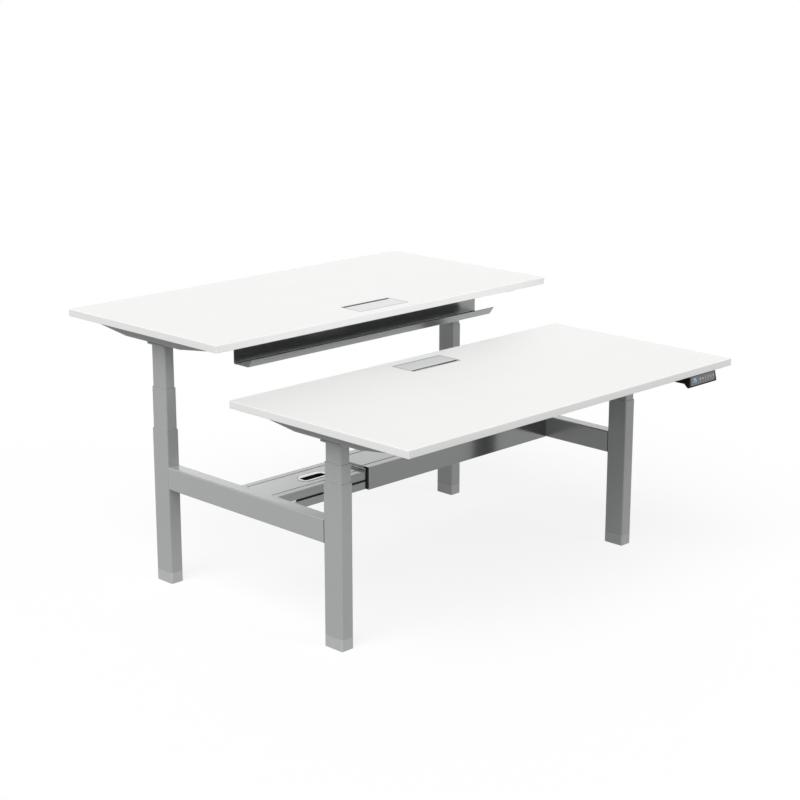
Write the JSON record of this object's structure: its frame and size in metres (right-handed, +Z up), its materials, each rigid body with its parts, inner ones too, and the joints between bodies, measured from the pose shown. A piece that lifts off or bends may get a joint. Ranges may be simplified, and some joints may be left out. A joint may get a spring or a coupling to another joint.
{
  "type": "height-adjustable benching desk",
  "caption": "Back-to-back sit-stand benching desk: worktops on telescopic lifting columns over a shared frame with a cable trough, trays and flap ports.",
  "frame": {"origin": "on the floor, midway between the two desks and halfway along the bench", "axes": "+Z up; +X along the worktops' long side; the front desk's user sits at -Y and faces +Y, the rear desk's user sits at +Y and faces -Y"},
  "size_m": [1.6, 1.657, 0.918],
  "materials": {
    "painted_steel": "semi-gloss silver-grey powder coat",
    "painted_aluminium": "semi-gloss silver-grey powder coat",
    "anodised_aluminium": "satin natural anodised",
    "cast_boot": "matt light grey paint on die casting",
    "laminate": "white melamine-faced board with white edging",
    "drive_casing": "semi-gloss silver-grey paint",
    "screw_steel": "bright steel",
    "grey_plastic": "moulded light grey",
    "black_plastic": "fine-textured black moulding",
    "panel_film": "dark grey printed film"
  },
  "bodies": {
    "base": {"left_cross_beam": "painted_steel", "right_cross_beam": "painted_steel", "trough_profile": "anodised_aluminium", "trough_sleeve": "painted_aluminium", "trough_lid": "anodised_aluminium", "sleeve_lid": "painted_aluminium", "trough_grommet": "grey_plastic", "sleeve_grommet": "grey_plastic", "left_trough_bracket": "screw_steel", "right_trough_bracket": "screw_steel", "front_left_outer_tube": "painted_steel", "front_right_outer_tube": "painted_steel", "rear_left_outer_tube": "painted_steel", "rear_right_outer_tube": "painted_steel"},
    "front_desk": {"front_left_wing": "painted_steel", "front_left_drive_unit": "drive_casing", "front_left_inner_tube": "painted_steel", "front_right_wing": "painted_steel", "front_right_drive_unit": "drive_casing", "front_right_inner_tube": "painted_steel", "front_worktop": "laminate", "front_inner_rail": "painted_steel", "front_user_rail": "painted_steel", "front_cable_tray": "painted_steel", "front_control_box": "black_plastic", "front_handset_body": "black_plastic", "front_handset_panel": "panel_film", "front_port_frame": "anodised_aluminium"},
    "front_left_mid_stage": {"front_left_mid_tube": "painted_steel", "front_left_drive_tube": "screw_steel"},
    "front_left_spindle": {"front_left_spindle": "screw_steel"},
    "front_left_foot": {"front_left_foot_boot": "cast_boot"},
    "front_right_mid_stage": {"front_right_mid_tube": "painted_steel", "front_right_drive_tube": "screw_steel"},
    "front_right_spindle": {"front_right_spindle": "screw_steel"},
    "front_right_foot": {"front_right_foot_boot": "cast_boot"},
    "front_flap": {"front_port_flap": "anodised_aluminium"},
    "rear_desk": {"rear_left_wing": "painted_steel", "rear_left_drive_unit": "drive_casing", "rear_left_inner_tube": "painted_steel", "rear_right_wing": "painted_steel", "rear_right_drive_unit": "drive_casing", "rear_right_inner_tube": "painted_steel", "rear_worktop": "laminate", "rear_inner_rail": "painted_steel", "rear_user_rail": "painted_steel", "rear_cable_tray": "painted_steel", "rear_control_box": "black_plastic", "rear_handset_body": "black_plastic", "rear_handset_panel": "panel_film", "rear_port_frame": "anodised_aluminium"},
    "rear_left_mid_stage": {"rear_left_mid_tube": "painted_steel", "rear_left_drive_tube": "screw_steel"},
    "rear_left_spindle": {"rear_left_spindle": "screw_steel"},
    "rear_left_foot": {"rear_left_foot_boot": "cast_boot"},
    "rear_right_mid_stage": {"rear_right_mid_tube": "painted_steel", "rear_right_drive_tube": "screw_steel"},
    "rear_right_spindle": {"rear_right_spindle": "screw_steel"},
    "rear_right_foot": {"rear_right_foot_boot": "cast_boot"},
    "rear_flap": {"rear_port_flap": "anodised_aluminium"}
  },
  "joints": [
    {"name": "front_lift", "type": "slide", "parent": "base", "child": "front_desk", "axis": [0, 0, 1], "range_m": [-0.11, 0.54]},
    {"name": "front_left_mid_slide", "type": "slide", "parent": "base", "child": "front_left_mid_stage", "axis": [0, 0, 1], "range_m": [-0.055, 0.27]},
    {"name": "front_left_spindle_turn", "type": "hinge", "parent": "front_desk", "child": "front_left_spindle", "pos_m": [-0.705, -0.4285, 0.65], "axis": [0, 0, 1], "continuous": true},
    {"name": "front_left_foot_level", "type": "slide", "parent": "base", "child": "front_left_foot", "axis": [0, 0, -1], "range_m": [0, 0.012]},
    {"name": "front_right_mid_slide", "type": "slide", "parent": "base", "child": "front_right_mid_stage", "axis": [0, 0, 1], "range_m": [-0.055, 0.27]},
    {"name": "front_right_spindle_turn", "type": "hinge", "parent": "front_desk", "child": "front_right_spindle", "pos_m": [0.705, -0.4285, 0.65], "axis": [0, 0, 1], "continuous": true},
    {"name": "front_right_foot_level", "type": "slide", "parent": "base", "child": "front_right_foot", "axis": [0, 0, -1], "range_m": [0, 0.012]},
    {"name": "front_flap_hinge", "type": "hinge", "parent": "front_desk", "child": "front_flap", "pos_m": [0, -0.0816, 0.748], "axis": [-1, 0, 0], "range_deg": [0, 100]},
    {"name": "rear_lift", "type": "slide", "parent": "base", "child": "rear_desk", "axis": [0, 0, 1], "range_m": [-0.278, 0.372]},
    {"name": "rear_left_mid_slide", "type": "slide", "parent": "base", "child": "rear_left_mid_stage", "axis": [0, 0, 1], "range_m": [-0.139, 0.186]},
    {"name": "rear_left_spindle_turn", "type": "hinge", "parent": "rear_desk", "child": "rear_left_spindle", "pos_m": [0.705, 0.4285, 0.818], "axis": [0, 0, 1], "continuous": true},
    {"name": "rear_left_foot_level", "type": "slide", "parent": "base", "child": "rear_left_foot", "axis": [0, 0, -1], "range_m": [0, 0.012]},
    {"name": "rear_right_mid_slide", "type": "slide", "parent": "base", "child": "rear_right_mid_stage", "axis": [0, 0, 1], "range_m": [-0.139, 0.186]},
    {"name": "rear_right_spindle_turn", "type": "hinge", "parent": "rear_desk", "child": "rear_right_spindle", "pos_m": [-0.705, 0.4285, 0.818], "axis": [0, 0, 1], "continuous": true},
    {"name": "rear_right_foot_level", "type": "slide", "parent": "base", "child": "rear_right_foot", "axis": [0, 0, -1], "range_m": [0, 0.012]},
    {"name": "rear_flap_hinge", "type": "hinge", "parent": "rear_desk", "child": "rear_flap", "pos_m": [0, 0.0816, 0.916], "axis": [1, 0, 0], "range_deg": [0, 100]}
  ],
  "couplings": [
    {"joint": "front_left_mid_slide", "follows": "front_lift", "ratio": 0.5},
    {"joint": "front_left_spindle_turn", "follows": "front_lift", "rad_per_m": 157.08},
    {"joint": "front_right_mid_slide", "follows": "front_lift", "ratio": 0.5},
    {"joint": "front_right_spindle_turn", "follows": "front_lift", "rad_per_m": 157.08},
    {"joint": "rear_left_mid_slide", "follows": "rear_lift", "ratio": 0.5},
    {"joint": "rear_left_spindle_turn", "follows": "rear_lift", "rad_per_m": 157.08},
    {"joint": "rear_right_mid_slide", "follows": "rear_lift", "ratio": 0.5},
    {"joint": "rear_right_spindle_turn", "follows": "rear_lift", "rad_per_m": 157.08}
  ]
}
